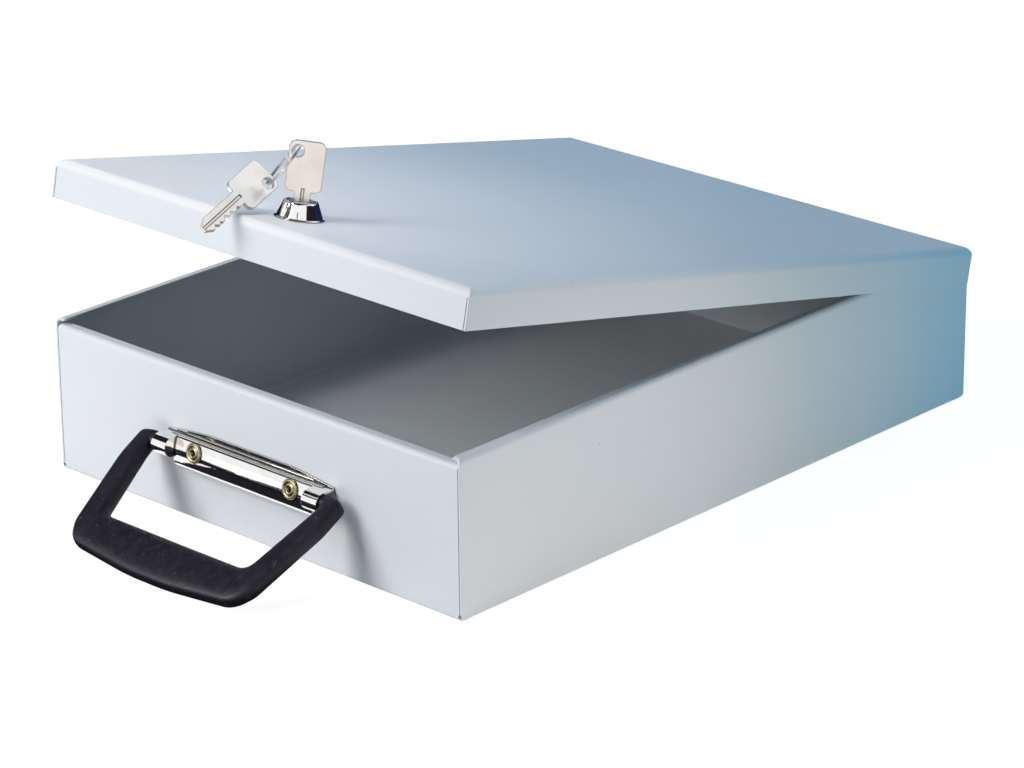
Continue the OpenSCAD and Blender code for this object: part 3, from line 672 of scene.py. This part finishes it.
# place, target, radius, cone in degrees, power, colour
SPOTS = {
    "right_wall": ((1.5, -0.15, 0.03), (0.125, -0.13, 0.03), 0.035, 17, 15.9, (1.0, 0.864, 0.872)),
    "right_wide": ((1.5, -0.15, 0.03), (0.125, -0.075, 0.03), 0.035, 22, 25.2, (1.0, 0.512, 0.147)),
    "lid_front": ((-0.5, -1.0, 1.4), (-0.06, -0.17, 0.13), 0.3, 22, 51.5, (0.897, 0.847, 1.0)),
    "lid_strip": ((-0.1, 0.1, 1.6), (-0.08, -0.2, 0.13), 0.2, 13, 124, (1.0, 0.836, 0.705)),
    "back_wall": ((0.1, 1.6, 0.03), (0.0, 0.172, 0.06), 0.035, 40, 20, (1.0, 0.62, 0.42)),
}
# lamps that only tint the walls, so that no gloss shows their colour
MATT_LAMPS = (
    "right_blue", "top_back", "left_back", "right_wall", "right_wide", "lid_strip", "back_wall",
)


def stage_material(name):
    """A material with nothing but its output: the material, its tree and the surface socket."""
    material = bpy.data.materials.new(name)
    material.use_nodes = True
    tree = material.node_tree
    tree.nodes.clear()
    return material, tree, tree.nodes.new("ShaderNodeOutputMaterial").inputs["Surface"]


def plain_shader(tree, kind, socket, value):
    """A shader with one value set on it."""
    node = tree.nodes.new(kind)
    node.inputs[socket].default_value = value
    return node.outputs[0]


def seen_rays(tree):
    """1 for rays from the camera, from mirrors and through glass, which see the white backdrop."""
    path = tree.nodes.new("ShaderNodeLightPath")
    value = path.outputs["Is Camera Ray"]
    for kind in ("Is Glossy Ray", "Is Transmission Ray"):
        either = tree.nodes.new("ShaderNodeMath")
        either.operation = "MAXIMUM"
        tree.links.new(value, either.inputs[0])
        tree.links.new(path.outputs[kind], either.inputs[1])
        value = either.outputs[0]
    return value


def split_by_ray(tree, surface, lighting, seen):
    """Send one shader to the rays that carry light about, and another to the rays that see."""
    mix = tree.nodes.new("ShaderNodeMixShader")
    tree.links.new(seen_rays(tree), mix.inputs[0])
    tree.links.new(lighting, mix.inputs[1])
    tree.links.new(seen, mix.inputs[2])
    tree.links.new(mix.outputs[0], surface)


def make_floor():
    """A wide pale floor that keeps the object's shadow and looks white."""
    mesh = bpy.data.meshes.new("floor")
    corners = [(x * FLOOR_HALF, y * FLOOR_HALF, 0) for x, y in ((-1, -1), (1, -1), (1, 1), (-1, 1))]
    mesh.from_pydata(corners, [], [(0, 1, 2, 3)])
    floor = bpy.data.objects.new("floor", mesh)
    COLLECTION.objects.link(floor)
    floor.location.z = -FLOOR_DROP
    material, tree, surface = stage_material("floor")
    soft = plain_shader(tree, "ShaderNodeBsdfDiffuse", "Color", FLOOR_SEEN)
    glow = plain_shader(tree, "ShaderNodeEmission", "Strength", FLOOR_GLOW)
    both = tree.nodes.new("ShaderNodeAddShader")
    tree.links.new(soft, both.inputs[0])
    tree.links.new(glow, both.inputs[1])
    plain = plain_shader(tree, "ShaderNodeBsdfDiffuse", "Color", FLOOR_GREY)
    split_by_ray(tree, surface, lighting=plain, seen=both.outputs[0])
    mesh.materials.append(material)


def card(name, rows, color):
    """A stage card that only mirrors see, skinned between rows of two points."""
    bm = bmesh.new()
    rows = [[bm.verts.new(point) for point in row] for row in rows]
    for a, b in zip(rows, rows[1:]):
        bm.faces.new((a[0], b[0], b[1], a[1]))
    mesh = bpy.data.meshes.new(name)
    bm.to_mesh(mesh)
    bm.free()
    board = bpy.data.objects.new(name, mesh)
    COLLECTION.objects.link(board)
    material, tree, surface = stage_material(name)
    glow = plain_shader(tree, "ShaderNodeEmission", "Color", rgb(*color))
    tree.links.new(glow, surface)
    mesh.materials.append(material)
    board.visible_camera = False
    board.visible_diffuse = False
    board.visible_shadow = False
    board.visible_transmission = False


def make_cards():
    """Upright cards round the set and two level boards, which shiny metal mirrors as bands."""
    for name, (azimuth, spread, distance, bottom, top, color) in CARDS.items():
        rows = []
        for k in range(CARD_STEPS + 1):
            a = math.radians(azimuth + spread * (k / CARD_STEPS - 0.5))
            x, y = distance * math.sin(a), CARD_CENTRE - distance * math.cos(a)
            rows.append([(x, y, bottom), (x, y, top)])
        card(name, rows, color)
    for name, ((x0, y0), (x1, y1), height) in BOARDS.items():
        card(name, [[(x, y0, height), (x, y1, height)] for x in (x0, x1)], CARD_BLACK)


def aim(name, data, place, target, power, color):
    """Put a lamp at a place and point it at a target."""
    data.energy = power
    data.color = color
    light = bpy.data.objects.new(name, data)
    light.visible_glossy = name not in MATT_LAMPS
    light.location = place
    light.rotation_euler = (Vector(target) - Vector(place)).to_track_quat("-Z", "Y").to_euler()
    COLLECTION.objects.link(light)


def soft_box(name, place, target, size, power, color):
    """A rectangular softbox."""
    data = bpy.data.lights.new(name, "AREA")
    data.shape = "RECTANGLE"
    data.size, data.size_y = size
    aim(name, data, place, target, power, color)


def soft_spot(name, place, target, radius, cone, power, color):
    """A spot with a soft-edged cone."""
    data = bpy.data.lights.new(name, "SPOT")
    data.shadow_soft_size = radius
    data.spot_size = math.radians(cone)
    data.spot_blend = 1.0
    aim(name, data, place, target, power, color)


def make_world():
    """White for what is seen and mirrored, a dim blue fill for what lights the object."""
    world = bpy.data.worlds.new("studio")
    SCENE.world = world
    world.use_nodes = True
    tree = world.node_tree
    tree.nodes.clear()
    surface = tree.nodes.new("ShaderNodeOutputWorld").inputs["Surface"]
    fill = plain_shader(tree, "ShaderNodeBackground", "Color", WORLD_FILL)
    white = plain_shader(tree, "ShaderNodeBackground", "Color", WORLD_SEEN)
    split_by_ray(tree, surface, lighting=fill, seen=white)


make_camera()
MATERIALS = make_materials()
make_handle()
make_rivets()
make_ribs()
make_cap()
make_split_ring()
make_floor()
make_cards()
for light_name, light_settings in BOXES.items():
    soft_box(light_name, *light_settings)
for light_name, light_settings in SPOTS.items():
    soft_spot(light_name, *light_settings)
make_world()
SCENE.view_settings.view_transform = "Standard"
